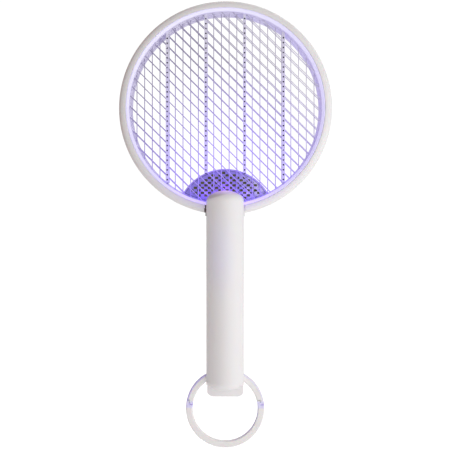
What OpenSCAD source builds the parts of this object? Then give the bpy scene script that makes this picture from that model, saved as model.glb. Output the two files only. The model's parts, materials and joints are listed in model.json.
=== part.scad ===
// Folding electric fly swatter: a round three-layer net head that folds back over a tube handle,
// with a violet lure lamp at the foot of the net and a ring at the tail that swings out as a stand.
// Frame: origin on the handle's axis at the middle of the grip, +Z up along the handle to the head,
// +X to the right seen from the front. The front faces -Y. The rest pose is the opened swatter.

/* [Handle] */
// Radius of the handle's tube
handle_r = 18.5; // [18.3:0.1:18.8]
// Height of the top of the front shell's dome
handle_top_z = 101.6; // [100.6:0.1:102.6]
// Height of the lowest point of the front shell's dome
handle_low_z = -95.6; // [-96:0.1:-95]
// Height of the flat end of the rear shell's tongue
tongue_low_z = -102.7; // [-103.4:0.1:-102]
// Thickness of the handle shells
shell_wall = 2; // [1.6:0.1:2.2]

/* [Head] */
// Outer radius of the head's ring
head_r = 105.9; // [105.5:0.1:106.3]
// Height of the middle of the head
head_z = 183.9; // [183.5:0.1:184.3]
// Depth of the head's ring from front to back
head_depth = 20; // [19.8:0.1:20.2]
// Spacing of the net wires, upright and slanted alike
wire_pitch = 7.7; // [7.6:0.05:7.8]
// Radius of a net wire
wire_r = 0.45; // [0.35:0.05:0.5]

/* [Lamp] */
// Radius of the lure lamp's arc
lamp_r = 47.8; // [46.5:0.1:48.5]
// Height of the centre of the lure lamp's arc
lamp_z = 74.6; // [74:0.1:75]

/* [Tail ring] */
// Outer radius of the tail ring
tail_r = 38.8; // [38.5:0.1:39.1]
// Height of the middle of the tail ring
tail_z = -113.4; // [-113.7:0.1:-113.1]

/* [Controls] */
// How far the trigger button presses in
trigger_travel = 1.2; // [0.8:0.1:1.4]
// How far the mode slider moves, from off through lamp to lamp and net
slider_travel = 7; // [5:0.5:7]

/* [Hidden] */
$fn = 96;
eps = 0.05;

// Handle shells. The parting line runs at the middle of the tube and steps back at both ends.
seam = 0.1;
dome_corner = 8;
dome_crown = 27.5;
roof_z = 75.8;
roof_thickness = 6;
head_gap_y = -0.4;
step_z = -90;
tongue_y = 4.6;
tongue_corner = 6.5;
cavity_r = handle_r - shell_wall;

// Fold hinge between the handle and the head.
fold_y = 19.4;
fold_z = 76;
knuckle_r = 3.6;
knuckle_relief_r = 3.9;
fold_pin_r = 1.5;
fold_bore_r = 1.55;
inner_knuckle = 6.8;
handle_knuckle = [7.1, 12.9];
outer_knuckle = [13.2, 18.4];
block_half_w = 19.4;
block_low_z = 76.5;
groove_x = 19.25;
groove_w = 1.2;
groove_y = 1.5;
block_screw_x = 9.5;
block_screw_y = 7;
block_screw_r = 1.2;
block_screw_top_z = 81;

// Head ring: two C-section covers around a sandwich of bezels, spacers and nets.
ring_round = 6;
ring_inner_r = 98.4;
ring_wall = 1.8;
channel_r = 99.8;
ring_screw_r = 101.6;
ring_screw_angles = [30:60:330];
ring_post_y = [1, 16.2];
ring_post_r = 1.7;
ring_front_y = 0.1;
ring_back_y = ring_front_y + head_depth;
ring_split_y = 11;
stack_r = 98.3;
net_r = 95.6;
net_rim_r = 97.6;
rim_half = 0.6;
front_net_y = 6.5;
middle_net_y = 9.5;
rear_net_y = 14.5;
bezel_front_y = 0.9;
bezel_back_y = 19.3;
throat_front_r = 95.4;
throat_back_r = 94;
wires_per_side = 12;
rib_columns = [-57.75, -19.25, 19.25, 57.75];
rib_w = 3;
rib_y = [5.3, 15.6];
rib_wires = [2, 7];
rib_hole_r = 0.8;
rib_hole_depth = 6;
slant_angle = 45;
front_slant_offset = 0.46;
rear_slant_offset = 0.52;
slants_per_side = 13;
hole_pitch = 4.85;

// Lamp at the foot of the net.
lamp_wall = 0.8;
lamp_y = [10.8, 18.4];
guard_t = 0.8;
guard_hole = [3.7, 2.4];
guard_flat = 3;
guard_margin = 0.3;
guard_pitch = [3.53, 5.01];
guard_rise = 2.68;
led_radius = 24;
led_count = 5;
led_step = 16;

// Tail ring: a fixed yoke above, a swinging loop below, half-lapped at the pivots.
tail_inner_r = tail_r - 6.8;
tail_y = [0.2, 4.7];
tail_mid_y = (tail_y[0] + tail_y[1]) / 2;
tail_round = 1.4;
pivot_z = -107.4;
lug_r = 2.25;
tail_reach = [-170, 0];
lug_gap = 0.4;
lap_gap = 0.15;
lap_x = (tail_r + tail_inner_r) / 2 - 0.35;
pivot_pin_r = 1;
pivot_bore_r = 1.05;

// Screws, board and controls inside the handle.
upper_screw_z = 64;
lower_screw_z = tail_z + (tail_r + tail_inner_r) / 2;
screw_r = 1.25;
screw_bore_r = 1.3;
screw_hole_r = 1.6;
screw_head_r = 2.5;
screw_head_t = 1.8;
counterbore_r = 2.8;
front_boss_r = 3.2;
rear_boss_r = 4.6;
screw_tip_y = -12;
upper_seat_y = 4.2;
lower_seat_y = 9.2;
board_y = [7, 8.6];
board_z = [-99.5, 56];
board_half_w = 12.6;
cell_r = 9.15;
cell_y = -5.3;
cell_z = [-69.6, -4.6];
cradle_z = [-72.4, -2.2];
trigger_z = 32;
trigger_size = [12.4, 28];
window_gap = 0.3;
switch_top_y = 12.1;
plunger_r = 1.7;
slider_knob_l = 8;
slider_play = 0.3;
slider_slot_low_z = -17;
slider_slot_z = [slider_slot_low_z, slider_slot_low_z + slider_knob_l + slider_travel + 2 * slider_play];
slider_w = 6.4;
light_z = 51.5;
light_r = 1.5;
port_y = 10.4;
port_size = [3.3, 9];
contact_x = [-14, -5, 5, 14];
contact_y = 9.5;
contact_r = 1.25;
pad_y = [6.6, 14.4];
long_pad_more = [3.4, 1];
pad_half_w = 1.5;
pad_z = [76.55, 77.05];
lead_r = 0.6;
lead_hole_r = 0.8;
lamp_lead_x = [-5, 5];
lamp_lead_y = 13.3;
lamp_lead_top_z = 95.4;

// A box given by its two ends along each axis.
module span(x, y, z) {
    translate([x[0], y[0], z[0]])
        cube([x[1] - x[0], y[1] - y[0], z[1] - z[0]]);
}

// A cylinder along X, along Y or straight up, given by its two ends.
module rod_x(x, y, z, r) {
    translate([x[0], y, z]) rotate([0, 90, 0]) cylinder(h = x[1] - x[0], r = r);
}
module rod_y(x, y, z, r) {
    translate([x, y[1], z]) rotate([90, 0, 0]) cylinder(h = y[1] - y[0], r = r);
}
module rod_z(x, y, z, r) {
    translate([x, y, z[0]]) cylinder(h = z[1] - z[0], r = r);
}

// A flat outline drawn in X and Z, given a thickness between two depths.
module plate(y) {
    translate([0, y[1], 0]) rotate([90, 0, 0]) linear_extrude(y[1] - y[0]) children();
}

// A section drawn as radius and depth, turned about a front-to-back axis at the given height.
module turned(z) {
    translate([0, 0, z]) rotate([-90, 0, 0]) rotate_extrude($fn = 180) children();
}

// A disc in the X-Z plane at the given height.
module disc(z, r) {
    translate([0, z]) circle(r, $fn = 180);
}

// An outline with round ends, upright when z is the longer size.
module stadium(w, h) {
    square([w, h - w], center = true);
    for (s = [-1, 1]) translate([0, s * (h - w) / 2]) circle(w / 2);
}

// Half outline of one end of the tube: a straight side, a tight corner and a shallow crown.
module dome_profile(inset, top) {
    r = handle_r - inset;
    corner = dome_corner - inset;
    crown = dome_crown - inset;
    crown_z = top - inset - crown;
    corner_x = r - corner;
    corner_z = crown_z + sqrt(pow(crown - corner, 2) - pow(corner_x, 2));
    reach = 3;
    translate([0, -1]) square([r, corner_z + 1]);
    translate([corner_x, corner_z]) circle(corner);
    intersection() {
        translate([0, crown_z]) circle(crown, $fn = 180);
        polygon([
            [0, crown_z],
            [reach * corner_x, crown_z + reach * (corner_z - crown_z)],
            [0, crown_z + reach * (corner_z - crown_z)]
        ]);
    }
}

module tube_solid(inset) {
    rotate_extrude() {
        dome_profile(inset, handle_top_z);
        mirror([0, 1]) dome_profile(inset, -handle_low_z);
    }
}

// The space that the front shell may fill, or its hollow when inset is the wall.
module front_zone(inset) {
    far = handle_r + 5;
    main_y = inset > 0 ? far : -seam;
    low_y = inset > 0 ? far : tongue_y - 0.2;
    span([-far, far], [-far, main_y], [step_z, roof_z]);
    span([-far, far], [-far, head_gap_y - inset], [roof_z - eps, handle_top_z + 1]);
    span([-far, far], [-far, low_y], [handle_low_z - 1, step_z + eps]);
}

module handle_front_shell() {
    color("white") difference() {
        union() {
            difference() {
                intersection() {
                    tube_solid(0);
                    front_zone(0);
                }
                intersection() {
                    tube_solid(shell_wall);
                    front_zone(shell_wall);
                }
            }
            intersection() {
                union() {
                    rod_y(0, [-handle_r, -seam], upper_screw_z, front_boss_r);
                    rod_y(0, [-handle_r, 0], lower_screw_z, front_boss_r);
                }
                tube_solid(shell_wall / 2);
            }
        }
        for (z = [upper_screw_z, lower_screw_z])
            rod_y(0, [screw_tip_y - 2, 1], z, screw_bore_r);
    }
}

// The rear shell's outline seen from the front, straight at the top with two round lower corners.
module tongue_outline(inset) {
    r = tongue_corner - inset;
    half = handle_r - inset;
    low = tongue_low_z + inset;
    translate([-half, low + r]) square([2 * half, roof_z - low - r + 1]);
    translate([-half + r, low]) square([2 * (half - r), r + 1]);
    for (s = [-1, 1]) translate([s * (half - r), low + r]) circle(r);
}

module rear_solid(inset) {
    far = handle_r + 5;
    top = inset > 0 ? roof_z - roof_thickness : roof_z;
    main_y = inset > 0 ? -1 : seam;
    low_y = tongue_y + inset;
    intersection() {
        rod_z(0, 0, [tongue_low_z - 1, top], handle_r - inset);
        plate([-far, far]) tongue_outline(inset);
        union() {
            span([-far, far], [main_y, far], [step_z, top + 1]);
            span([-far, far], [low_y, far], [tongue_low_z - 1, step_z + eps]);
        }
    }
}

// The space swept by the head's knuckles at the handle's rear edge.
module knuckle_relief() {
    rod_x([-inner_knuckle - 0.3, inner_knuckle + 0.3], fold_y, fold_z, knuckle_relief_r);
    for (s = [-1, 1]) {
        outer = [outer_knuckle[0] - 0.3, outer_knuckle[1] + 0.3];
        rod_x(s > 0 ? outer : [-outer[1], -outer[0]], fold_y, fold_z, knuckle_relief_r);
    }
}

module handle_knuckles() {
    for (s = [-1, 1]) {
        x = s > 0 ? handle_knuckle : [-handle_knuckle[1], -handle_knuckle[0]];
        rod_x(x, fold_y, fold_z, knuckle_r);
        span(x, [10, fold_y - knuckle_r * 0.6], [roof_z - roof_thickness, roof_z]);
        span(x, [fold_y - knuckle_r, fold_y - 1], [fold_z - 3, fold_z]);
    }
}

// Where the tail yoke passes through the rear shell's sides, open to the parting line.
module tail_notches() {
    back = tail_y[1] + seam;
    intersection() {
        plate([-1, back]) difference() {
            disc(tail_z, tail_r + seam);
            disc(tail_z, tail_inner_r - seam);
        }
        for (s = [-1, 1]) translate([s * handle_r, 0, 0])
            span([-2.5 * shell_wall, 2.5 * shell_wall], [-1, back], [step_z + 1, fold_z]);
    }
}

module handle_rear_shell() {
    color("white") difference() {
        union() {
            difference() {
                union() {
                    difference() {
                        rear_solid(0);
                        rear_solid(shell_wall);
                    }
                    intersection() {
                        rod_y(0, [seam, handle_r], upper_screw_z, rear_boss_r);
                        rear_solid(0);
                    }
                    intersection() {
                        rod_y(0, [tail_y[1] + seam, handle_r], lower_screw_z, rear_boss_r);
                        rear_solid(0);
                    }
                }
                knuckle_relief();
            }
            handle_knuckles();
        }
        rod_x([-handle_r, handle_r], fold_y, fold_z, fold_pin_r);
        for (z = [upper_screw_z, lower_screw_z]) rod_y(0, [-1, handle_r], z, screw_hole_r);
        rod_y(0, [upper_seat_y, 30], upper_screw_z, counterbore_r);
        rod_y(0, [lower_seat_y, 30], lower_screw_z, counterbore_r);
        plate([10, 30]) translate([0, trigger_z])
            stadium(trigger_size[0] + 2 * window_gap, trigger_size[1] + 2 * window_gap);
        span([-slider_w / 2 - window_gap, slider_w / 2 + window_gap], [10, 30], slider_slot_z);
        rod_y(0, [10, 30], light_z, light_r + eps);
        translate([0, port_y, tongue_low_z - 1]) linear_extrude(shell_wall + 2)
            rotate(90) stadium(port_size[0] + 0.4, port_size[1] + 0.5);
        tail_notches();
        for (x = contact_x)
            rod_z(x, contact_y, [roof_z - roof_thickness - 1, roof_z + 1], contact_r + eps);
    }
}

// One self-tapping screw that points towards the front, with a cross slot in its head.
module case_screw(z, head_y, tip_y) {
    difference() {
        union() {
            rod_y(0, [tip_y, head_y], z, screw_r);
            rod_y(0, [head_y, head_y + screw_head_t], z, screw_head_r);
        }
        for (a = [0, 90]) translate([0, head_y + screw_head_t, z]) rotate([0, a, 0])
            cube([3, screw_head_t, 0.7], center = true);
    }
}

module handle_screws() {
    color("silver") {
        case_screw(upper_screw_z, upper_seat_y, screw_tip_y);
        case_screw(lower_screw_z, lower_seat_y, screw_tip_y);
    }
}

module hinge_pin() {
    color("silver") rod_x([-18.2, 18.2], fold_y, fold_z, fold_pin_r);
}

module battery_cell() {
    color("teal") union() {
        rod_z(0, cell_y, [cell_z[0], cell_z[1] - 1.2], cell_r);
        rod_z(0, cell_y, [cell_z[1] - 2, cell_z[1]], 3);
    }
}

module battery_cradle() {
    wall = 1.4;
    color("dimgray") difference() {
        intersection() {
            rod_z(0, cell_y, cradle_z, cell_r + 0.2 + wall);
            span([-12, 12], [-8, 6.7], cradle_z);
        }
        rod_z(0, cell_y, [cradle_z[0] + wall, cradle_z[1] - wall], cell_r + 0.2);
        rod_z(4, cell_y, [cradle_z[1] - 3, cradle_z[1] + 1], 1);
        rod_z(4, cell_y, [cradle_z[0] - 1, cradle_z[0] + 3], 1);
    }
}

module battery_contacts() {
    color("gold") {
        span([-3, 5.5], [cell_y - 2.5, cell_y + 2.5], [cell_z[1] + 0.1, cell_z[1] + 0.6]);
        rod_z(0, cell_y, [cell_z[0] - 0.7, cell_z[0] - 0.1], 5);
    }
}

// A lead from a battery contact, out of the cradle's end and back to the board.
module battery_lead(start_z, turn_z) {
    low = min(start_z, turn_z);
    high = max(start_z, turn_z);
    rod_z(4, cell_y, [low, high], lead_r);
    translate([4, cell_y, turn_z]) sphere(lead_r);
    rod_y(4, [cell_y, board_y[0] - 0.05], turn_z, lead_r);
}

module battery_leads() {
    color("red") {
        battery_lead(cell_z[1] + 0.7, 0.6);
        battery_lead(cell_z[0] - 0.8, -73.9);
    }
}

module main_board() {
    foot_half_w = 9.5;
    foot_l = 6;
    color("seagreen") plate(board_y) difference() {
        polygon([
            [-foot_half_w, board_z[0]],
            [foot_half_w, board_z[0]],
            [board_half_w, board_z[0] + foot_l],
            [board_half_w, board_z[1]],
            [-board_half_w, board_z[1]],
            [-board_half_w, board_z[0] + foot_l]
        ]);
        translate([0, lower_screw_z]) circle(5);
    }
}

module step_up_transformer() {
    color("gold") difference() {
        span([-7, 7], [-5, board_y[0] - 0.05], [6, 20]);
        for (s = [-1, 1]) span([s * 4.7 - 1.1, s * 4.7 + 1.1], [-6, -2.6], [8.6, 17.4]);
        for (s = [-1, 1]) span([s * 6.5 - 1, s * 6.5 + 1], [-2, 4], [5, 21]);
    }
}

module storage_capacitor() {
    color("saddlebrown") translate([0, 0, 47]) intersection() {
        span([-7.5, 7.5], [-1, board_y[0] - 0.05], [-5.5, 5.5]);
        rod_y(0, [-2, 8], 0, 8.6);
    }
}

module rectifier_diodes() {
    color("black") for (k = [0:3])
        rod_z(-7.5 + 5 * k, 5.4, [28, 34], 1.35);
}

module power_transistor() {
    color("black") difference() {
        rod_z(8, 4.4, [22, 26.5], 2.4);
        span([4, 12], [5.6, 8], [21, 28]);
    }
}

module trigger_switch() {
    color("dimgray") difference() {
        span([-3, 3], [board_y[1] + 0.05, switch_top_y], [trigger_z - 3, trigger_z + 3]);
        rod_y(0, [9.4, switch_top_y + 1], trigger_z, plunger_r + 0.08);
    }
}

module mode_switch() {
    mid = (slider_slot_z[0] + slider_slot_z[1]) / 2;
    color("silver") difference() {
        span([-2.4, 2.4], [board_y[1] + 0.05, 12], [mid - 8, mid + 8]);
        span([-1.2, 1.2], [10.2, 13], [mid - 5.6, mid + 5.6]);
    }
}

module charge_socket() {
    color("silver") difference() {
        translate([0, port_y, tongue_low_z + 0.4]) linear_extrude(7.6)
            rotate(90) stadium(port_size[0], port_size[1]);
        translate([0, port_y, tongue_low_z]) linear_extrude(6.5)
            rotate(90) stadium(port_size[0] - 0.8, port_size[1] - 0.8);
    }
    color("black") span([-3.4, 3.4], [port_y - 0.35, port_y + 0.35],
                        [tongue_low_z + 1.2, tongue_low_z + 7.2]);
}

module status_light_pipe() {
    color("aliceblue") union() {
        rod_y(0, [board_y[1] + 1.4, handle_r + 0.2], light_z, light_r);
        rod_y(0, [12.4, 14], light_z, light_r + 0.9);
    }
}

// Sprung contacts in the handle's roof that meet the head's pads when the head is open.
module contact_springs() {
    color("gold") for (x = contact_x) {
        rod_z(x, contact_y, [roof_z - roof_thickness + 0.5, roof_z - 1], contact_r);
        rod_z(x, contact_y, [roof_z - 1.5, roof_z + 0.2], 0.8);
    }
}

// The tail ring's full section, turned into a whole ring.
module tail_ring() {
    r = tail_round;
    width = tail_r - tail_inner_r;
    depth = tail_y[1] - tail_y[0];
    turned(tail_z) {
        translate([tail_inner_r + r, tail_y[0]]) square([width - 2 * r, depth]);
        translate([tail_inner_r, tail_y[0] + r]) square([width, depth - 2 * r]);
        for (x = [tail_inner_r + r, tail_r - r])
            for (y = [tail_y[0] + r, tail_y[1] - r])
                translate([x, y]) circle(r, $fn = 48);
    }
}

// The half of the pivot joint that a lug takes: side -1 is left, 1 is right.
// The yoke's lug is the inner one on the left and the outer one on the right.
module lug_side(side, of_yoke, low, high) {
    outer = of_yoke == (side > 0);
    near = side * (lap_x + (outer ? lap_gap : -lap_gap));
    far = side * (outer ? tail_r + 2 : tail_inner_r - 3);
    span([min(near, far), max(near, far)], [-1, 8], [low, high]);
}

module tail_yoke() {
    color("white") difference() {
        union() {
            intersection() {
                tail_ring();
                union() {
                    span([-50, 50], [-1, 8], [pivot_z + lug_r + lug_gap, tail_reach[1]]);
                    for (s = [-1, 1]) lug_side(s, true, pivot_z, tail_reach[1]);
                }
            }
            for (s = [-1, 1]) intersection() {
                rod_x([-50, 50], tail_mid_y, pivot_z, lug_r);
                lug_side(s, true, pivot_z - 5, pivot_z + 5);
                plate([-1, 8]) difference() {
                    disc(tail_z, tail_r);
                    disc(tail_z, tail_inner_r);
                }
            }
        }
        rod_x([-50, 50], tail_mid_y, pivot_z, pivot_pin_r);
        rod_y(0, [-1, 8], lower_screw_z, screw_hole_r);
    }
}

module stand_loop() {
    color("white") difference() {
        union() {
            intersection() {
                tail_ring();
                union() {
                    span([-50, 50], [-1, 8], [tail_reach[0], pivot_z - lug_r - lug_gap]);
                    for (s = [-1, 1]) lug_side(s, false, tail_reach[0], pivot_z);
                }
            }
            for (s = [-1, 1]) intersection() {
                rod_x([-50, 50], tail_mid_y, pivot_z, lug_r);
                lug_side(s, false, pivot_z - 5, pivot_z + 5);
                plate([-1, 8]) difference() {
                    disc(tail_z, tail_r);
                    disc(tail_z, tail_inner_r);
                }
            }
        }
        rod_x([-50, 50], tail_mid_y, pivot_z, pivot_bore_r);
    }
}

module tail_pivot_pins() {
    color("silver") for (s = [-1, 1]) {
        ends = [tail_inner_r + 0.6, tail_r - 1];
        rod_x(s > 0 ? ends : [-ends[1], -ends[0]], tail_mid_y, pivot_z, pivot_pin_r);
    }
}

module trigger_button() {
    color("whitesmoke") union() {
        difference() {
            intersection() {
                rod_z(0, 0, [trigger_z - 20, trigger_z + 20], handle_r + 0.7);
                plate([11, 30]) translate([0, trigger_z])
                    stadium(trigger_size[0], trigger_size[1]);
            }
            rod_z(0, 0, [trigger_z - 20, trigger_z + 20], 14);
        }
        difference() {
            intersection() {
                rod_z(0, 0, [trigger_z - 20, trigger_z + 20], cavity_r - 0.25);
                plate([8, 30]) translate([0, trigger_z])
                    stadium(trigger_size[0] + 3, trigger_size[1] + 2);
            }
            rod_z(0, 0, [trigger_z - 20, trigger_z + 20], 14.2);
        }
        rod_y(0, [switch_top_y + trigger_travel + 0.3, 15], trigger_z, 2.2);
    }
}

module switch_plunger() {
    color("black") rod_y(0, [10.8, switch_top_y + trigger_travel + 0.25], trigger_z, plunger_r);
}

module mode_slider() {
    low = slider_slot_z[0] + slider_play;
    high = low + slider_knob_l;
    mid = (low + high) / 2;
    color("whitesmoke") difference() {
        union() {
            intersection() {
                rod_z(0, 0, [low, high], handle_r + 1);
                span([-slider_w / 2, slider_w / 2], [14, 30], [low, high]);
            }
            intersection() {
                rod_z(0, 0, [mid - 12, mid + 12], cavity_r - 0.3);
                span([-5, 5], [14.2, 30], [mid - 12, mid + 12]);
            }
            span([-0.9, 0.9], [10.8, 15], [mid - 0.9, mid + 0.9]);
        }
        for (k = [-2:2]) span([-5, 5], [handle_r + 0.4, 30], [mid + k * 1.3 - 0.3, mid + k * 1.3 + 0.3]);
    }
}

// One half of the head's cover as a C section: round outside, hollow inside.
// The front half is drawn, and the rear half is its mirror image.
module cover_profile(depth) {
    difference() {
        union() {
            translate([ring_inner_r, 0]) square([head_r - ring_round - ring_inner_r, depth]);
            translate([ring_inner_r, ring_round])
                square([head_r - ring_inner_r, depth - ring_round]);
            intersection() {
                translate([head_r - ring_round, ring_round]) circle(ring_round);
                translate([head_r - ring_round - 1, 0]) square([ring_round + 2, ring_round + 1]);
            }
        }
        translate([channel_r, ring_round])
            square([head_r - ring_wall - channel_r, depth]);
        translate([channel_r, ring_wall])
            square([head_r - ring_round - channel_r + 0.5, ring_round]);
        intersection() {
            translate([head_r - ring_round, ring_round]) circle(ring_round - ring_wall);
            translate([head_r - ring_round, 0]) square([ring_round, ring_round + 1]);
        }
        translate([ring_inner_r - 1, -1]) square([1.3, 1.3]);
    }
}

// What is drawn straight above the head's middle, repeated at each of the ring's screws.
module around_ring() {
    for (a = ring_screw_angles) translate([0, 0, head_z]) rotate([0, a, 0]) children();
}

module head_front_ring() {
    depth = ring_split_y - seam / 2 - ring_front_y;
    color("white") difference() {
        union() {
            turned(head_z) translate([0, ring_front_y]) cover_profile(depth);
            around_ring() rod_y(0, ring_post_y, ring_screw_r, ring_post_r);
        }
        around_ring() rod_y(0, [11.5, 17], ring_screw_r, screw_bore_r);
        rod_z(min(contact_x), middle_net_y, [70, 95], lead_hole_r);
        rod_z(max(contact_x), front_net_y, [70, 95], lead_hole_r);
        for (s = [-1, 1])
            rod_z(s * block_screw_x, block_screw_y, [70, block_screw_top_z + 1], block_screw_r + eps);
        for (s = [-1, 1]) translate([s * groove_x, 0, 0])
            span([-groove_w / 2, groove_w / 2], [-1, groove_y], [70, 90]);
    }
}

module head_rear_ring() {
    depth = ring_back_y - ring_split_y - seam / 2;
    color("white") difference() {
        turned(head_z) translate([0, ring_back_y]) mirror([0, 1]) cover_profile(depth);
        rod_z(max(contact_x), rear_net_y, [70, 95], lead_hole_r);
        for (x = lamp_lead_x) rod_z(x, lamp_lead_y, [70, 95], lead_hole_r);
        around_ring() rod_y(0, [10, 30], ring_screw_r, screw_bore_r);
        around_ring() rod_y(0, [19.2, 30], ring_screw_r, 2.2);
    }
}

// Radius of the throat at a depth: it closes in a little towards the back.
function throat(y) = throat_front_r - (throat_front_r - throat_back_r)
                     * max(0, y - front_net_y) / (bezel_back_y - front_net_y);

module front_bezel() {
    back = front_net_y - rim_half;
    color("lavender") turned(head_z) polygon([
        [stack_r, bezel_front_y],
        [stack_r - 0.6, bezel_front_y - 0.3],
        [throat_front_r, 3],
        [throat_front_r, back],
        [stack_r, back]
    ]);
}

module spacer(low, high) {
    turned(head_z) polygon([
        [throat(low), low],
        [stack_r, low],
        [stack_r, high],
        [throat(high), high]
    ]);
}

module front_spacer() {
    color("lavender") spacer(front_net_y + rim_half, middle_net_y - rim_half);
}

module rear_spacer() {
    color("lavender") difference() {
        spacer(middle_net_y + rim_half, rear_net_y - rim_half);
        for (x = lamp_lead_x) rod_z(x, lamp_lead_y, [80, 95], lead_hole_r);
    }
}

module rear_bezel() {
    low = rear_net_y + rim_half;
    color("lavender") turned(head_z) polygon([
        [throat(low), low],
        [stack_r, low],
        [stack_r, bezel_back_y],
        [throat_back_r + 1, bezel_back_y],
        [throat_back_r, bezel_back_y - 1]
    ]);
}

module net_rim(y) {
    turned(head_z) translate([net_r, y - rim_half]) square([net_rim_r - net_r, 2 * rim_half]);
}

// Parallel wires on a slant, cut to the rim.
module slanted_wires(y, offset) {
    end_r = net_r + 0.8;
    translate([0, y, head_z]) rotate([0, slant_angle, 0])
        for (k = [-slants_per_side:slants_per_side]) {
            off = (k + offset) * wire_pitch;
            half = sqrt(max(0, pow(end_r, 2) - pow(off, 2)));
            if (half > 12) rod_x([-half, half], 0, off, wire_r, $fn = 24);
        }
}

module front_grid() {
    color("silver") union() {
        net_rim(front_net_y);
        slanted_wires(front_net_y, front_slant_offset);
    }
}

module high_voltage_grid() {
    end_r = net_r + 0.8;
    color("silver") union() {
        net_rim(middle_net_y);
        for (k = [0:wires_per_side - 1])
            for (s = search(k, rib_wires) == [] ? [-1, 1] : []) {
                x = s * (k + 0.5) * wire_pitch;
                half = sqrt(pow(end_r, 2) - pow(x, 2));
                rod_z(x, middle_net_y, [head_z - half, head_z + half], wire_r, $fn = 24);
            }
    }
}

module rear_grid() {
    color("silver") difference() {
        union() {
            net_rim(rear_net_y);
            slanted_wires(rear_net_y, rear_slant_offset);
            plate([rear_net_y - rim_half, rear_net_y + rim_half]) intersection() {
                difference() {
                    disc(lamp_z, lamp_r + 1.7);
                    disc(lamp_z, lamp_r + 0.2);
                }
                disc(head_z, net_r + 0.8);
            }
        }
        intersection() {
            plate([rear_net_y - 2, rear_net_y + 2]) disc(lamp_z, lamp_r + 0.2);
            plate([rear_net_y - 2, rear_net_y + 2]) disc(head_z, net_r - eps);
        }
    }
}

module grid_ribs() {
    color("ghostwhite") for (x = rib_columns) {
        reach = sqrt(pow(throat_back_r, 2) - pow(x, 2));
        foot = abs(x) < lamp_r ? lamp_z + sqrt(pow(lamp_r + 0.3, 2) - pow(abs(x) - rib_w / 2, 2)) : 0;
        low = max(head_z - reach, foot);
        holes = floor((head_z + reach - low - 6) / hole_pitch);
        difference() {
            intersection() {
                span([x - rib_w / 2, x + rib_w / 2], rib_y, [max(low, 80), 290]);
                turned(head_z) polygon([
                    [0, rib_y[0]],
                    [throat(rib_y[0]) - eps, rib_y[0]],
                    [throat(rib_y[1]) - eps, rib_y[1]],
                    [0, rib_y[1]]
                ]);
            }
            for (k = [0:holes])
                rod_y(x, [rib_y[0] - 1, rib_y[0] + rib_hole_depth],
                      low + 3 + k * hole_pitch, rib_hole_r);
        }
    }
}

// The lens-shaped area between the lamp's arc and the ring's throat.
module lamp_area(inset) {
    intersection() {
        disc(lamp_z, lamp_r - inset);
        disc(head_z, throat_back_r - 0.1 - inset);
    }
}

module lamp_housing() {
    color("mediumslateblue") difference() {
        plate(lamp_y) difference() {
            lamp_area(0);
            lamp_area(lamp_wall);
        }
        for (x = lamp_lead_x) rod_z(x, lamp_lead_y, [85, 95], lead_hole_r);
    }
}

// A thin plate with staggered long holes, kept clear of its edge.
module lamp_guard(y) {
    edge = lamp_wall + 0.1;
    columns = floor(lamp_r / guard_pitch[0]);
    rows = ceil(lamp_r / guard_pitch[1]);
    half = guard_hole / 2;
    flat = guard_flat / 2;
    plate(y) difference() {
        lamp_area(edge);
        for (i = [-columns:columns - 1])
            for (j = [0:rows]) {
                x = (i + 0.5) * guard_pitch[0];
                rise = guard_rise + (j + (i % 2 == 0 ? 0 : 0.5)) * guard_pitch[1];
                z = lamp_z + rise;
                tip = abs(x) + half[0];
                shoulder = abs(x) + flat;
                far = max(norm([tip, rise]), norm([shoulder, rise + half[1]]));
                near = max(norm([tip, head_z - z]), norm([shoulder, head_z - z + half[1]]));
                if (max(far - lamp_r, near - throat_back_r) < -edge - guard_margin)
                    translate([x, z]) polygon([
                        [-half[0], 0],
                        [-flat, -half[1]],
                        [flat, -half[1]],
                        [half[0], 0],
                        [flat, half[1]],
                        [-flat, half[1]]
                    ]);
            }
    }
}

module lamp_front_guard() {
    color("mediumslateblue") lamp_guard([lamp_y[0], lamp_y[0] + guard_t]);
}

module lamp_rear_guard() {
    color("mediumslateblue") lamp_guard([lamp_y[1] - guard_t, lamp_y[1]]);
}

module lamp_board() {
    color("darkolivegreen") plate([14, 15.2]) lamp_area(lamp_wall + 0.1);
}

module lamp_leds() {
    color("blueviolet") for (k = [0:led_count - 1]) {
        a = 90 + (k - (led_count - 1) / 2) * led_step;
        x = led_radius * cos(a);
        z = lamp_z + led_radius * sin(a);
        rod_y(x, [12.2, 13.95], z, 1.5);
        rod_y(x, [15.25, 17.2], z, 1.5);
    }
}

// The four contact pads, or their pockets when there is play around them.
// The last one is longer, because it feeds both outer nets.
module pads(play) {
    for (x = contact_x) {
        more = x == max(contact_x) ? long_pad_more : [0, 0];
        low = play > 0 ? block_low_z - 1 : pad_z[0];
        span([x - pad_half_w - play, x + pad_half_w + play],
             [pad_y[0] - more[0] - play, pad_y[1] + more[1] + play], [low, pad_z[1]]);
    }
}

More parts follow.
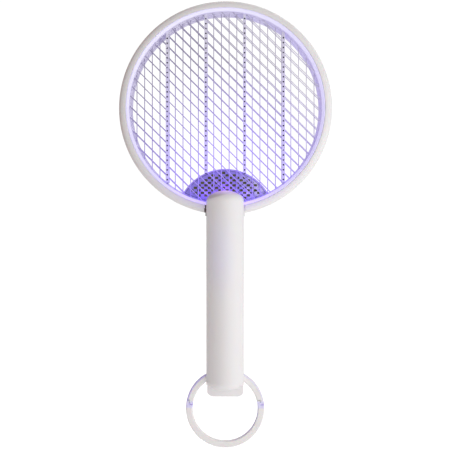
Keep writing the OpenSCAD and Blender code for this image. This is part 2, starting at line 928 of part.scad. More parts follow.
// The block under the ring that carries the head's knuckles.
module hinge_block() {
    top_z = head_z - sqrt(pow(head_r, 2) - pow(block_half_w, 2)) + 2;
    color("white") difference() {
        union() {
            difference() {
                span([-block_half_w, block_half_w], [0.6, 20], [block_low_z, top_z]);
                turned(head_z) {
                    translate([0, ring_front_y + ring_round])
                        square([head_r + 0.05, head_depth - 2 * ring_round]);
                    square([head_r - ring_round, head_depth + 1]);
                    for (y = [ring_front_y + ring_round, ring_back_y - ring_round])
                        translate([head_r - ring_round, y]) circle(ring_round + 0.05);
                }
            }
            rod_x([-inner_knuckle, inner_knuckle], fold_y, fold_z, knuckle_r);
            for (s = [-1, 1])
                rod_x(s > 0 ? outer_knuckle : [-outer_knuckle[1], -outer_knuckle[0]],
                      fold_y, fold_z, knuckle_r);
        }
        for (s = [-1, 1]) {
            gap = [handle_knuckle[0] - 0.3, handle_knuckle[1] + 0.3];
            rod_x(s > 0 ? gap : [-gap[1], -gap[0]], fold_y, fold_z, knuckle_relief_r);
        }
        rod_x([-block_half_w - 1, block_half_w + 1], fold_y, fold_z, fold_bore_r);
        for (x = lamp_lead_x) rod_z(x, lamp_lead_y, [70, 90], lead_hole_r);
        rod_z(min(contact_x), middle_net_y, [70, 90], lead_hole_r);
        for (y = [front_net_y, rear_net_y]) rod_z(max(contact_x), y, [70, 90], lead_hole_r);
        for (s = [-1, 1]) {
            rod_z(s * block_screw_x, block_screw_y, [70, 90], screw_hole_r);
            rod_z(s * block_screw_x, block_screw_y, [70, block_low_z + 1], 2.4);
        }
        pads(0.1);
    }
}

module hinge_block_screws() {
    color("silver") for (s = [-1, 1]) {
        rod_z(s * block_screw_x, block_screw_y, [block_low_z + 0.1, block_low_z + 0.95], 2.2);
        rod_z(s * block_screw_x, block_screw_y, [block_low_z + 0.9, block_screw_top_z], block_screw_r);
    }
}

module contact_pads() {
    color("gold") pads(0);
}

// Straight leads from the pads through the ring to the three nets and the lamp board.
module head_leads() {
    net_foot = head_z - sqrt(pow(net_rim_r, 2) - pow(max(contact_x), 2)) - 0.2;
    color("red") {
        rod_z(min(contact_x), middle_net_y, [pad_z[1] + eps, net_foot], lead_r);
        rod_z(max(contact_x), front_net_y, [pad_z[1] + eps, net_foot], lead_r);
        rod_z(max(contact_x), rear_net_y, [pad_z[1] + eps, net_foot], lead_r);
        for (x = lamp_lead_x) rod_z(x, lamp_lead_y, [pad_z[1] + eps, lamp_lead_top_z], lead_r);
    }
}

module head_screws() {
    color("silver") around_ring() difference() {
        union() {
            rod_y(0, [12, 19.4], ring_screw_r, screw_r);
            rod_y(0, [19.25, 19.9], ring_screw_r, 2);
        }
        translate([0, 19.9, ring_screw_r]) cube([2.8, 0.7, 0.5], center = true);
    }
}

handle_front_shell();
handle_rear_shell();
handle_screws();
hinge_pin();
battery_cell();
battery_cradle();
battery_contacts();
battery_leads();
main_board();
step_up_transformer();
storage_capacitor();
rectifier_diodes();
power_transistor();
trigger_switch();
mode_switch();
charge_socket();
status_light_pipe();
contact_springs();
tail_yoke();
tail_pivot_pins();
trigger_button();
switch_plunger();
mode_slider();
stand_loop();
head_front_ring();
head_rear_ring();
front_bezel();
front_grid();
front_spacer();
high_voltage_grid();
rear_spacer();
rear_grid();
rear_bezel();
grid_ribs();
lamp_housing();
lamp_front_guard();
lamp_rear_guard();
lamp_board();
lamp_leds();
hinge_block();
hinge_block_screws();
contact_pads();
head_leads();
head_screws();
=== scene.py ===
"""Looks for the folding electric fly swatter: materials, lamp light, studio and camera."""
import json

import bpy
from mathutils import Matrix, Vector


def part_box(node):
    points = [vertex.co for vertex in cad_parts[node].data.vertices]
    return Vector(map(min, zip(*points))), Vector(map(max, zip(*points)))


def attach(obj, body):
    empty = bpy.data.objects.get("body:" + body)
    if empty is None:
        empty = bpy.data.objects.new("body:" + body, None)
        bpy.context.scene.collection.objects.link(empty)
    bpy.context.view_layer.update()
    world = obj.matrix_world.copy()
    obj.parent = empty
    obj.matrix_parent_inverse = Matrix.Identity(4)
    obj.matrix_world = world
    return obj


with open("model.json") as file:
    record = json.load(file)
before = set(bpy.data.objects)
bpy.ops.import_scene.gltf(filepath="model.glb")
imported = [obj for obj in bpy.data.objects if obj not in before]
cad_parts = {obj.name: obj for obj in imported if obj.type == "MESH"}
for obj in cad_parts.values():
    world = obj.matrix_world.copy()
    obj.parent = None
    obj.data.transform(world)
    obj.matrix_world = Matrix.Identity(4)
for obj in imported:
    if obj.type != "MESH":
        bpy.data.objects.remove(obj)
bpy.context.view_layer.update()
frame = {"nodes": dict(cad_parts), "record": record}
MM = 0.001

# ---------------------------------------------------------------- places taken from the frame

RING_LOW, RING_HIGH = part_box("head_front_ring")
HEAD_Z = (RING_LOW[2] + RING_HIGH[2]) / 2
HEAD_R = (RING_HIGH[0] - RING_LOW[0]) / 2
LAMP_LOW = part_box("lamp_front_guard")[0]
LAMP_Y = 8 * MM  # the depth that the lamp's light spreads from
DOME_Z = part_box("handle_front_shell")[1][2]
HANDLE_LOW, HANDLE_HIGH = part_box("handle_rear_shell")
HANDLE_R = (HANDLE_HIGH[0] - HANDLE_LOW[0]) / 2
LOOP_LOW, LOOP_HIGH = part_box("stand_loop")
TAIL_R = (LOOP_HIGH[0] - LOOP_LOW[0]) / 2
TAIL_Z = LOOP_LOW[2] + TAIL_R
PIVOT_LOW, PIVOT_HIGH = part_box("tail_pivot_pins")
PIVOT_Z = (PIVOT_LOW[2] + PIVOT_HIGH[2]) / 2

# ---------------------------------------------------------------- node helpers

# Most of a noise texture's values lie between these two.
NOISE_LOW, NOISE_HIGH = 0.3, 0.7


class Shader:
    """A new material with a Principled shader and short ways to add nodes to it."""

    def __init__(self, name):
        self.mat = bpy.data.materials.new(name)
        self.mat.use_nodes = True
        self.nodes = self.mat.node_tree.nodes
        self.links = self.mat.node_tree.links
        self.bsdf = self.nodes["Principled BSDF"]
        coordinates = self.add("ShaderNodeTexCoord")
        self.where = coordinates.outputs["Object"]
        self.normal = coordinates.outputs["Normal"]

    def add(self, kind, **values):
        node = self.nodes.new(kind)
        for key, value in values.items():
            setattr(node, key, value)
        return node

    def link(self, source, target):
        self.links.new(source, target)

    def feed(self, socket, source):
        """Links a source to one of the shader's own sockets."""
        self.link(source, self.bsdf.inputs[socket])

    def fed(self, socket):
        """What one of the shader's own sockets is linked to so far."""
        return self.bsdf.inputs[socket].links[0].from_socket

    def set(self, **values):
        """Constant values, set on the shader's own sockets."""
        for key, value in values.items():
            self.bsdf.inputs[key.replace("_", " ")].default_value = value

    def noise(self, scale, detail=3.0, stretch=(1, 1, 1), rough=0.5):
        mapping = self.add("ShaderNodeMapping")
        mapping.inputs["Scale"].default_value = stretch
        self.link(self.where, mapping.inputs["Vector"])
        node = self.add("ShaderNodeTexNoise")
        node.inputs["Scale"].default_value = scale
        node.inputs["Detail"].default_value = detail
        node.inputs["Roughness"].default_value = rough
        self.link(mapping.outputs["Vector"], node.inputs["Vector"])
        return node.outputs["Fac"]

    def cells(self, feature, scale):
        """How far the surface is from the points, or the edges, of a pattern of cells."""
        node = self.add("ShaderNodeTexVoronoi", feature=feature)
        node.inputs["Scale"].default_value = scale
        self.link(self.where, node.inputs["Vector"])
        return node.outputs["Distance"]

    def remap(self, value, low, high, to_low, to_high):
        node = self.add("ShaderNodeMapRange")
        for key, number in (
            ("From Min", low),
            ("From Max", high),
            ("To Min", to_low),
            ("To Max", to_high),
        ):
            node.inputs[key].default_value = number
        self.link(value, node.inputs["Value"])
        return node.outputs["Result"]

    def between(self, pattern, low, high):
        """A number between two values that follows a noise."""
        return self.remap(pattern, NOISE_LOW, NOISE_HIGH, low, high)

    def ramp(self, value, stops):
        """A colour ramp from (place, colour) stops."""
        node = self.add("ShaderNodeValToRGB")
        elements = node.color_ramp.elements
        while len(elements) < len(stops):
            elements.new(0.5)
        for element, (place, colour) in zip(elements, stops):
            element.position = place
            element.color = (*colour, 1)
        self.link(value, node.inputs["Fac"])
        return node.outputs["Color"]

    def tones(self, pattern, low, high):
        """A colour between two tones that follows a noise."""
        return self.ramp(pattern, [(NOISE_LOW, low), (NOISE_HIGH, high)])

    def mix(self, factor, a, b):
        node = self.add("ShaderNodeMix", data_type="RGBA")
        for socket, value in ((node.inputs[0], factor), (node.inputs[6], a), (node.inputs[7], b)):
            if isinstance(value, bpy.types.NodeSocket):
                self.link(value, socket)
            else:
                socket.default_value = (*value, 1)
        return node.outputs[2]

    def math(self, operation, a, b=0.0):
        node = self.add("ShaderNodeMath", operation=operation)
        for socket, value in zip(node.inputs, (a, b)):
            if isinstance(value, bpy.types.NodeSocket):
                self.link(value, socket)
            else:
                socket.default_value = value
        return node.outputs[0]

    def distance(self, point, stretch=(1, 1, 1)):
        """How far the surface is from a point, in metres."""
        offset = self.add("ShaderNodeVectorMath", operation="SUBTRACT")
        self.link(self.where, offset.inputs[0])
        offset.inputs[1].default_value = point
        scaled = self.add("ShaderNodeVectorMath", operation="MULTIPLY")
        self.link(offset.outputs[0], scaled.inputs[0])
        scaled.inputs[1].default_value = stretch
        length = self.add("ShaderNodeVectorMath", operation="LENGTH")
        self.link(scaled.outputs[0], length.inputs[0])
        return length.outputs["Value"]

    def axis(self, index):
        """One coordinate of the surface point, in metres."""
        node = self.add("ShaderNodeSeparateXYZ")
        self.link(self.where, node.inputs[0])
        return node.outputs[index]

    def facing(self, direction):
        """How far the surface's own normal points along a direction, from -1 to 1."""
        along = self.add("ShaderNodeVectorMath", operation="DOT_PRODUCT")
        self.link(self.normal, along.inputs[0])
        along.inputs[1].default_value = direction
        return along.outputs["Value"]

    def all_of(self, *masks):
        """The product of several masks."""
        total = masks[0]
        for mask in masks[1:]:
            total = self.math("MULTIPLY", total, mask)
        return total

    def leaned(self, normal, toward, amount):
        """A normal leaned by an amount along an offset given in the object's own axes."""
        turned = self.add("ShaderNodeVectorTransform", vector_type="VECTOR")
        turned.convert_from, turned.convert_to = "OBJECT", "WORLD"
        self.link(toward, turned.inputs[0])
        scaled = self.add("ShaderNodeVectorMath", operation="SCALE")
        self.link(turned.outputs[0], scaled.inputs[0])
        self.link(amount, scaled.inputs["Scale"])
        total = self.add("ShaderNodeVectorMath", operation="ADD")
        self.link(normal, total.inputs[0])
        self.link(scaled.outputs[0], total.inputs[1])
        unit = self.add("ShaderNodeVectorMath", operation="NORMALIZE")
        self.link(total.outputs[0], unit.inputs[0])
        return unit.outputs[0]

    def bump(self, height, strength, depth, edge=0.0):
        """A height turned into bump, over edges rounded by the given radius."""
        node = self.add("ShaderNodeBump")
        node.inputs["Strength"].default_value = strength
        node.inputs["Distance"].default_value = depth
        self.link(height, node.inputs["Height"])
        if edge:
            bevel = self.add("ShaderNodeBevel", samples=4)
            bevel.inputs["Radius"].default_value = edge
            self.link(bevel.outputs["Normal"], node.inputs["Normal"])
        self.feed("Normal", node.outputs["Normal"])


def moulded(name, colour, roughness=0.42, spread=0.03, grain=2400, depth=0.02, edge=0.3):
    """Moulded plastic: soft colour variation, a fine grain and slightly rounded edges."""
    s = Shader(name)
    darker = tuple(c * (1 - spread) for c in colour)
    s.feed("Base Color", s.tones(s.noise(14, 2), darker, colour))
    s.feed("Roughness", s.between(s.noise(60, 4), roughness - 0.05, roughness + 0.05))
    s.bump(s.noise(grain, 2), 0.25, depth * MM, edge * MM)
    return s


# ---------------------------------------------------------------- materials, one function each


def white_plastic(name, colour):
    """White moulded plastic that light sinks into a little."""
    s = moulded(name, colour, roughness=0.5, spread=0.012, grain=3000, edge=0.4)
    s.set(Subsurface_Weight=0.08, Subsurface_Scale=0.002, Specular_IOR_Level=0.4)
    return s


CASING_TONE = (0.88, 0.868, 0.872)
RING_TONE = (0.885, 0.872, 0.876)


def casing_white():
    """The handle's white, with painted lamp light: a painted lilac glow below the lamp, a painted
    shade on the dome's upper left and a painted, glowing highlight on its rim.
    """
    s = white_plastic("casing_white", CASING_TONE)
    plain_colour = s.fed("Base Color")
    # Painted lamp light: a soft lilac glow on the front of the handle below the lamp.
    painted_glow_top, painted_glow_low = DOME_Z - 15 * MM, DOME_Z - 110 * MM
    half = (painted_glow_top - painted_glow_low) / 2
    patch = s.distance((-0.3 * HANDLE_R, -HANDLE_R, painted_glow_low + half), (1, 1, HANDLE_R / half))
    painted_lamp_glow = s.remap(patch, 0.25 * HANDLE_R, 1.0 * HANDLE_R, 0.75, 0)
    tinted = s.mix(painted_lamp_glow, plain_colour, (0.84, 0.83, 0.96))
    height = s.axis(2)
    # Painted shade: the dome's upper left is darker.
    slope = s.math("SUBTRACT", height, s.math("MULTIPLY", s.axis(0), 0.27))
    shade = s.all_of(
        s.remap(slope, DOME_Z - 5.6 * MM, DOME_Z - 4.0 * MM, 0, 1),
        s.remap(s.axis(0), -0.3 * HANDLE_R, 0.25 * HANDLE_R, 1, 0),
    )
    shaded = s.mix(shade, tinted, (0.63, 0.58, 0.60))
    # Painted highlight: the dome's upward-facing rim is pink-lilac and glows a little, as if lit by
    # the lamp.
    on_dome = s.remap(height, DOME_Z - 14 * MM, DOME_Z - 9 * MM, 0, 1)
    painted_rim_light = s.all_of(s.remap(s.facing((0, 0, 1)), 0.78, 1.0, 0, 1), on_dome)
    s.feed("Base Color", s.mix(painted_rim_light, shaded, (0.80, 0.64, 0.98)))
    s.feed("Emission Strength", s.remap(s.math("MULTIPLY", painted_rim_light, painted_rim_light), 0, 1, 0, 0.35))
    s.set(Emission_Color=(0.80, 0.45, 1.0, 1))
    return s.mat


def ring_white():
    """The head covers' white: a crowned front, a painted shade on the upper left edge and in the
    left groove, and painted lilac lamp light near the lamp's foot.
    """
    s = white_plastic("ring_white", RING_TONE)
    plain_colour = s.fed("Base Color")
    radius = s.distance((0, 0, HEAD_Z), (1, 0, 1))
    # Painted lamp light: a lilac tint on the inner edge near the lamp.
    inner = s.remap(radius, HEAD_R - 7.5 * MM, HEAD_R - 1 * MM, 1, 0)
    near = s.remap(s.distance((0, 0, HEAD_Z - HEAD_R)), 0.02, 0.10, 0.9, 0)
    tinted = s.mix(s.math("MULTIPLY", inner, near), plain_colour, (0.74, 0.68, 0.98))
    # Painted shade: the groove beside the handle is dark on the left side only.
    painted_groove_shade = s.all_of(
        s.math("GREATER_THAN", s.axis(0), -HANDLE_R - 2.2 * MM),
        s.math("LESS_THAN", s.axis(0), -HANDLE_R - 0.05 * MM),
        s.math("GREATER_THAN", s.axis(1), RING_LOW[1] + 0.3 * MM),
        s.math("LESS_THAN", s.axis(2), HEAD_Z - HEAD_R + 12 * MM),
    )
    # Painted shade: the ring's outer edge at the upper left is darker and brownish.
    edge = s.all_of(
        s.remap(radius, HEAD_R - 3.2 * MM, HEAD_R - 1.6 * MM, 0, 0.8),
        s.remap(s.axis(0), -0.02, -0.07, 0, 1),
        s.remap(s.axis(2), HEAD_Z - 0.07, HEAD_Z - 0.02, 0, 1),
    )
    shaded = s.mix(edge, tinted, (0.66, 0.57, 0.555))
    s.feed("Base Color", s.mix(painted_groove_shade, shaded, (0.16, 0.12, 0.11)))
    bump_normal = s.fed("Normal")
    outward = s.add("ShaderNodeVectorMath", operation="MULTIPLY")
    s.link(s.where, outward.inputs[0])
    outward.inputs[1].default_value = (1 / HEAD_R, 0, 1 / HEAD_R)
    centred = s.add("ShaderNodeVectorMath", operation="SUBTRACT")
    s.link(outward.outputs[0], centred.inputs[0])
    centred.inputs[1].default_value = (0, 0, HEAD_Z / HEAD_R)
    crown = s.all_of(
        s.remap(radius, HEAD_R - 6 * MM, HEAD_R - 1 * MM, 0.14, 0.20),
        s.remap(s.axis(1), RING_LOW[1] + 4 * MM, RING_LOW[1] + 8 * MM, 1, 0),
    )
    s.feed("Normal", s.leaned(bump_normal, centred.outputs[0], crown))
    return s.mat


def tail_white():
    """The tail ring's white, with painted lilac lamp light that glows a little where its two halves
    meet and along its upper outer edge, and a painted violet shade along its lower inner edge.
    """
    s = Shader("tail_white")
    white = s.tones(s.noise(14, 2), (0.90, 0.89, 0.885), (0.92, 0.91, 0.905))
    side = s.math("ABSOLUTE", s.axis(0))
    along = s.math("ABSOLUTE", s.math("SUBTRACT", s.axis(2), PIVOT_Z - 2.2 * MM))
    # Painted lamp light: a lilac patch that glows a little where the halves meet.
    painted_joint_light = s.all_of(
        s.remap(along, 2.2 * MM, 4.2 * MM, 1, 0),
        s.remap(side, PIVOT_HIGH[0] - 9 * MM, PIVOT_HIGH[0] - 8 * MM, 0, 1),
    )
    radius = s.distance((0, 0, TAIL_Z), (1, 0, 1))
    above = s.remap(s.axis(2), PIVOT_Z, PIVOT_Z + 2 * MM, 0, 1)
    # Painted lamp light along the upper half's outer edge, strongest on the left; painted violet
    # shade along the lower half's inner edge, on the right.
    painted_upper_edge_light = s.all_of(
        s.remap(radius, TAIL_R - 2.2 * MM, TAIL_R - 1.4 * MM, 0, 1),
        above,
        s.remap(s.axis(0), -0.01, 0.02, 1, 0.35),
    )
    painted_lower_edge_shade = s.all_of(
        s.remap(radius, TAIL_R - 6.4 * MM, TAIL_R - 5.9 * MM, 1, 0),
        s.math("SUBTRACT", 1.0, above),
        s.remap(s.axis(0), 0.0, 0.025, 0, 1),
    )
    tinted = s.mix(painted_upper_edge_light, white, (0.66, 0.62, 0.96))
    tinted = s.mix(painted_lower_edge_shade, tinted, (0.62, 0.58, 0.80))
    s.feed("Base Color", s.mix(painted_joint_light, tinted, (0.76, 0.73, 0.97)))
    s.feed("Emission Strength", s.remap(painted_joint_light, 0, 1, 0, 0.06))
    s.feed("Roughness", s.between(s.noise(60, 4), 0.3, 0.4))
    s.bump(s.noise(3000, 2), 0.2, 0.02 * MM, 0.4 * MM)
    s.set(Subsurface_Weight=0.08, Subsurface_Scale=0.002, Emission_Color=(0.48, 0.40, 1.0, 1))
    return s.mat


def insulator_lilac():
    """Milky insulator of the head's throat, with painted lamp light: violet and glowing near the
    lamp at its foot, a painted glow stronger at the front lip and on the right, and painted shade
    deeper in the throat.
    """
    s = Shader("insulator_lilac")
    lip_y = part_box("front_bezel")[0][1] + 2.1 * MM
    foot = s.distance((0, LAMP_Y, LAMP_LOW[2]))
    reach = s.remap(foot, 0.0, 2 * HEAD_R, 0, 1)
    painted_right_glow = s.remap(s.axis(0), -0.04, HEAD_R, 0, 1)
    lip = s.remap(s.axis(1), lip_y, lip_y + 0.6 * MM, 1, 0)
    # Painted shade: the front lip is paler than the deeper throat; both turn violet near the lamp
    # as painted lamp light.
    front = s.ramp(
        reach,
        [(0.0, (0.70, 0.48, 0.98)), (0.3, (0.78, 0.74, 0.98)), (1.0, (0.85, 0.85, 0.97))],
    )
    painted_deep_shade = s.ramp(
        reach,
        [(0.0, (0.56, 0.44, 0.88)), (0.3, (0.72, 0.68, 0.82)), (1.0, (0.84, 0.83, 0.87))],
    )
    cloud = s.between(s.noise(40, 2), 0, 0.12)
    s.feed("Base Color", s.mix(cloud, s.mix(lip, painted_deep_shade, front), (0.66, 0.62, 0.88)))
    s.feed("Roughness", s.between(s.noise(80, 3), 0.5, 0.62))
    s.feed("Emission Color", s.mix(lip, (0.34, 0.26, 1.0), (0.58, 0.55, 1.0)))
    # Painted glow: strongest at the lamp's foot, at the front lip and on the right.
    near = s.remap(foot, 0.0, 0.09, 0.4, 0.0)
    glow = s.math("ADD", s.remap(lip, 0, 1, 0.11, 0.22), s.math("MULTIPLY", painted_right_glow, 0.16))
    s.feed("Emission Strength", s.math("ADD", near, glow))
    s.bump(s.noise(1800, 2), 0.15, 0.02 * MM, 0.25 * MM)
    return s.mat


def rib_plastic():
    """The ribs' lilac plastic, with painted black shade inside the row of holes down each front
    face, and painted violet lamp light that glows near the lamp.
    """
    s = moulded("rib_plastic", (0.76, 0.74, 0.90), roughness=0.4, spread=0.06, grain=2000, edge=0.2)
    plain_colour = s.fed("Base Color")
    low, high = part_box("grid_ribs")
    rib_half = 1.5 * MM
    gap = ((high[0] - rib_half) - (low[0] + rib_half)) / 3
    across = s.math("ABSOLUTE", s.math("SUBTRACT", s.math("ABSOLUTE", s.axis(0)), gap))
    off_row = s.math("ABSOLUTE", s.math("SUBTRACT", across, gap / 2))
    # Painted shade: the holes are coloured black.
    painted_hole_shade = s.all_of(
        s.math("LESS_THAN", off_row, 1.1 * MM),
        s.math("GREATER_THAN", s.axis(1), low[1] + 0.35 * MM),
        s.math("LESS_THAN", s.axis(1), high[1] - 1 * MM),
    )
    # Painted lamp light: violet and glowing near the lamp.
    reach = s.remap(s.distance((0, LAMP_Y, DOME_Z)), 0.02, 0.15, 1, 0)
    tinted = s.mix(reach, plain_colour, (0.50, 0.44, 0.95))
    s.feed("Base Color", s.mix(painted_hole_shade, tinted, (0.012, 0.008, 0.02)))
    solid = s.math("SUBTRACT", 1.0, painted_hole_shade)
    s.feed("Emission Strength", s.math("MULTIPLY", solid, s.remap(reach, 0, 1, 0.02, 0.35)))
    s.set(Emission_Color=(0.46, 0.38, 1.0, 1))
    return s.mat


def net_wire():
    """Plated wire with fine streaks, with painted light: darker on the left and paler on the right,
    and violet and glowing near the lamp.
    """
    s = Shader("net_wire")
    streaks = s.noise(900, 4, rough=0.7)
    # Painted light and shade: the wire is darker on the left and paler on the right.
    shaded_left_wire = s.tones(streaks, (0.34, 0.31, 0.45), (0.48, 0.45, 0.60))
    lit_right_wire = s.tones(streaks, (0.72, 0.71, 0.77), (0.88, 0.87, 0.91))
    painted_side_light_wire = s.mix(s.remap(s.axis(0), -0.05, 0.08, 0, 1), shaded_left_wire, lit_right_wire)
    # Painted lamp light: violet and glowing near the lamp.
    reach = s.remap(s.distance((0, LAMP_Y, DOME_Z)), 0.03, 0.13, 1, 0)
    s.feed("Base Color", s.mix(reach, painted_side_light_wire, (0.44, 0.34, 0.90)))
    s.feed("Emission Strength", s.remap(reach, 0, 1, 0.03, 0.25))
    s.feed("Roughness", s.between(s.noise(300, 3), 0.3, 0.45))
    s.bump(streaks, 0.3, 0.02 * MM)
    s.set(Metallic=0.35, Emission_Color=(0.42, 0.32, 1.0, 1))
    return s.mat


def lamp_violet(name, strength, shade):
    """The lamp's violet plastic, with painted light: its violet is richest and its glow strongest
    above the dome, and painted glints lighten it on the right.
    """
    s = Shader(name)
    # Painted lamp light: the violet is richest and the glow strongest near the lamp's source above
    # the dome.
    source = s.distance((-0.004, LAMP_LOW[1], DOME_Z - 6 * MM))
    place = s.remap(source, 0.0, 0.05, 0, 1)
    mottled = s.math("ADD", place, s.between(s.noise(160, 2), -0.08, 0.08))
    stops = [(0.0, (0.42, 0.24, 0.92)), (0.45, (0.27, 0.21, 0.74)), (1.0, (0.34, 0.30, 0.70))]
    colour = s.ramp(mottled, [(at, tuple(c * shade for c in tone)) for at, tone in stops])
    # Painted glints: pale mottled highlights on the right side.
    painted_glint = s.all_of(
        s.remap(s.axis(0), 0.010, 0.032, 0, 0.85),
        s.remap(s.noise(420, 3), 0.42, 0.58, 0.25, 1),
    )
    lit = s.mix(painted_glint, colour, tuple(c * shade for c in (0.74, 0.70, 0.96)))
    s.feed("Base Color", lit)
    s.feed("Emission Color", lit)
    s.feed("Emission Strength", s.remap(mottled, 0.0, 1.0, strength, strength * 0.35))
    s.feed("Roughness", s.between(s.noise(90, 3), 0.3, 0.42))
    s.bump(s.noise(1500, 2), 0.2, 0.02 * MM, 0.12 * MM)
    return s.mat


def lamp_board_olive():
    """Dark olive solder mask with faint tracks, lifted by a painted glow."""
    s = Shader("lamp_board_olive")
    line = s.remap(s.cells("DISTANCE_TO_EDGE", 260), 0.02, 0.08, 1, 0)
    mask = s.mix(line, (0.045, 0.038, 0.008), (0.085, 0.075, 0.02))
    s.feed("Base Color", mask)
    # Painted light: the board glows in its own colour, though it is no lamp.
    s.feed("Emission Color", mask)
    s.feed("Emission Strength", s.remap(line, 0, 1, 0.8, 1.0))
    s.feed("Roughness", s.between(s.noise(120, 2), 0.35, 0.5))
    s.bump(line, 0.2, 0.03 * MM)
    return s.mat


def led_lens():
    """A lit violet diode."""
    s = Shader("led_lens")
    core = s.noise(500, 2)
    s.feed("Base Color", s.tones(core, (0.4, 0.2, 1.0), (0.6, 0.4, 1.0)))
    s.feed("Emission Strength", s.between(core, 2.2, 3.2))
    s.feed("Roughness", s.between(s.noise(200, 2), 0.08, 0.16))
    s.set(Emission_Color=(0.42, 0.22, 1.0, 1))
    return s.mat


def circuit_board():
    """Green solder mask over a maze of tracks, with gold pads."""
    s = Shader("circuit_board")
    line = s.remap(s.cells("DISTANCE_TO_EDGE", 210), 0.03, 0.09, 1, 0)
    pad = s.remap(s.cells("F1", 330), 0.12, 0.16, 1, 0)
    mask = s.mix(line, (0.01, 0.12, 0.045), (0.02, 0.2, 0.08))
    s.feed("Base Color", s.mix(pad, mask, (0.75, 0.6, 0.25)))
    s.feed("Roughness", s.remap(pad, 0, 1, 0.35, 0.2))
    s.bump(line, 0.3, 0.04 * MM)
    return s.mat


def metal(name, light, dark, roughness):
    """Plated metal with fine brushing and faint tarnish."""
    s = Shader(name)
    brushed = s.noise(1200, 4, stretch=(1, 1, 6), rough=0.7)
    base = s.tones(s.noise(90, 3), dark, light)
    s.feed("Base Color", s.mix(s.between(brushed, 0, 0.3), base, dark))
    s.feed("Roughness", s.between(brushed, roughness - 0.08, roughness + 0.1))
    s.bump(brushed, 0.2, 0.02 * MM, 0.1 * MM)
    s.set(Metallic=1.0)
    return s.mat


def light_pipe():
    """Clear, slightly hazy plastic."""
    s = Shader("light_pipe")
    haze = s.noise(300, 2)
    s.feed("Base Color", s.tones(haze, (0.8, 0.86, 0.9), (0.92, 0.95, 0.97)))
    s.feed("Roughness", s.between(haze, 0.1, 0.25))
    s.set(Transmission_Weight=0.6, IOR=1.49)
    return s.mat


def cell_wrap():
    """Shrink wrap with faint wrinkles round the cell."""
    s = Shader("cell_wrap")
    wrinkle = s.noise(120, 4, stretch=(1, 1, 0.25))
    s.feed("Base Color", s.tones(wrinkle, (0.012, 0.15, 0.18), (0.02, 0.22, 0.25)))
    s.feed("Roughness", s.between(wrinkle, 0.22, 0.36))
    s.bump(wrinkle, 0.3, 0.06 * MM)
    return s.mat


MATERIALS = {
    "casing_white": casing_white(),
    "button_white": white_plastic("button_white", CASING_TONE).mat,
    "ring_white": ring_white(),
    "insulator_lilac": insulator_lilac(),
    "rib_plastic": rib_plastic(),
    "net_wire": net_wire(),
    "lamp_violet": lamp_violet("lamp_violet", strength=0.2, shade=1.0),
    "led_lens": led_lens(),
    "circuit_board": circuit_board(),
    "lamp_board_olive": lamp_board_olive(),
    "steel": metal("steel", (0.62, 0.62, 0.64), (0.42, 0.42, 0.44), 0.3),
    "brass": metal("brass", (0.86, 0.66, 0.30), (0.62, 0.45, 0.18), 0.28),
    "cell_wrap": cell_wrap(),
    "inner_plastic": moulded("inner_plastic", (0.03, 0.03, 0.033), 0.5, 0.3, 1800, 0.03).mat,
    "component_black": moulded("component_black", (0.016, 0.016, 0.018), 0.55, 0.3, 1500, 0.03).mat,
    "capacitor_film": moulded("capacitor_film", (0.2, 0.045, 0.015), 0.25, 0.25, 400, 0.05).mat,
    "transformer_tape": moulded("transformer_tape", (0.6, 0.42, 0.05), 0.3, 0.2, 500, 0.05).mat,
    "lead_red": moulded("lead_red", (0.4, 0.012, 0.01), 0.35, 0.2, 900, 0.03, 0.1).mat,
    "light_pipe": light_pipe(),
}
# Nodes that look different from the rest of their material slot.
SPECIAL = {
    "tail_yoke": tail_white(),
    "lamp_housing": lamp_violet("lamp_rim", strength=0.12, shade=0.7),
}
SPECIAL["stand_loop"] = SPECIAL["tail_yoke"]

for part in frame["record"]["subparts"]:
    node = frame["nodes"][part["node"]]
    chosen = SPECIAL.get(part["node"]) or MATERIALS[part["material_slot"]]
    for slot in node.material_slots:
        slot.material = chosen

# ---------------------------------------------------------------- lamp light, studio and camera


def placed(name, data, place):
    """A new object at a place."""
    thing = bpy.data.objects.new(name, data)
    thing.location = place
    bpy.context.collection.objects.link(thing)
    return thing


def aimed(place, target):
    """The turn that points a light or a camera from one place at another."""
    return (Vector(target) - Vector(place)).to_track_quat("-Z", "Y").to_euler()


def lamp_light(name, place):
    """A small violet light that moves with the head."""
    data = bpy.data.lights.new(name, "POINT")
    data.energy = 0.0011
    data.color = (0.40, 0.22, 1.0)
    data.shadow_soft_size = 4 * MM
    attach(placed(name, data, place), "head")


def studio_light(name, place, width, height, power):
    """A soft white light turned to the middle of the object."""
    data = bpy.data.lights.new(name, "AREA")
    data.shape = "RECTANGLE"
    data.size, data.size_y = width, height
    data.energy = power
    placed(name, data, place).rotation_euler = aimed(place, (0, 0, 0.07))


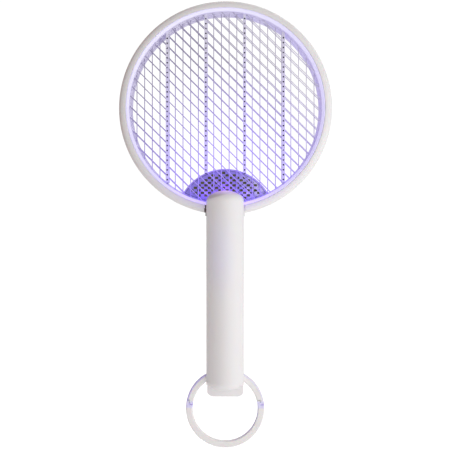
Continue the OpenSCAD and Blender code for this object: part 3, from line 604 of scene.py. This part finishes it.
def plain_world():
    """White surroundings: full white to look at, softer as light, dim at the upper left."""
    world = bpy.data.worlds.new("studio")
    bpy.context.scene.world = world
    world.use_nodes = True
    nodes, links = world.node_tree.nodes, world.node_tree.links
    where = nodes.new("ShaderNodeTexCoord")
    toward = nodes.new("ShaderNodeVectorMath")
    toward.operation = "DOT_PRODUCT"
    toward.inputs[1].default_value = Vector((-0.65, -0.5, 0.55)).normalized()
    links.new(where.outputs["Generated"], toward.inputs[0])
    side = nodes.new("ShaderNodeMapRange")
    side.inputs["From Min"].default_value = -1
    links.new(toward.outputs["Value"], side.inputs["Value"])
    sides = nodes.new("ShaderNodeValToRGB")
    elements = sides.color_ramp.elements
    elements.new(0.6)
    stops = [
        (0.2, (0.63, 0.63, 0.63, 1)),
        (0.80, (0.625, 0.615, 0.617, 1)),
        (0.97, (0.26, 0.19, 0.185, 1)),
    ]
    for element, (place, colour) in zip(elements, stops):
        element.position = place
        element.color = colour
    links.new(side.outputs["Result"], sides.inputs["Fac"])
    path = nodes.new("ShaderNodeLightPath")
    seen = nodes.new("ShaderNodeMix")
    seen.data_type = "RGBA"
    links.new(path.outputs["Is Camera Ray"], seen.inputs[0])
    links.new(sides.outputs["Color"], seen.inputs[6])
    seen.inputs[7].default_value = (1.05, 1.05, 1.05, 1)
    links.new(seen.outputs[2], nodes["Background"].inputs["Color"])


def plain_floor(z):
    """A pale matt floor far below, lit enough to look as white as the surroundings."""
    half = 6.0
    mesh = bpy.data.meshes.new("floor")
    corners = [(-half, -half, z), (half, -half, z), (half, half, z), (-half, half, z)]
    mesh.from_pydata(corners, [], [(0, 1, 2, 3)])
    floor = placed("floor", mesh, (0, 0, 0))
    s = Shader("floor_pale")
    s.feed("Base Color", s.tones(s.noise(3, 2), (0.93, 0.93, 0.93), (0.95, 0.95, 0.95)))
    path = s.add("ShaderNodeLightPath")
    s.feed("Emission Strength", s.remap(path.outputs["Is Camera Ray"], 0, 1, 0.12, 0.7))
    s.set(Roughness=0.9, Emission_Color=(1, 1, 1, 1), Specular_IOR_Level=0.0)
    mesh.materials.append(s.mat)


for number, (x, z) in enumerate(((-0.02, -2 * MM), (0, 3 * MM), (0.02, -2 * MM))):
    lamp_light("lamp_glow_%d" % number, (x, 7.5 * MM, DOME_Z + z))
studio_light("key", (0.60, -0.56, 0.03), 1.5, 1.0, 3.7)
studio_light("back", (0.3, 0.9, 1.3), 1.4, 1.2, 4)
plain_world()
plain_floor(-0.45)

CAMERA_PLACE = (0.012, -0.6155, 0.0676)
camera_data = bpy.data.cameras.new("camera")
camera_data.lens = 50
camera_data.sensor_width = 36
camera = placed("camera", camera_data, CAMERA_PLACE)
camera.rotation_euler = aimed(CAMERA_PLACE, (-0.0001, 0, CAMERA_PLACE[2]))
bpy.context.scene.camera = camera
bpy.context.scene.view_settings.view_transform = "Standard"
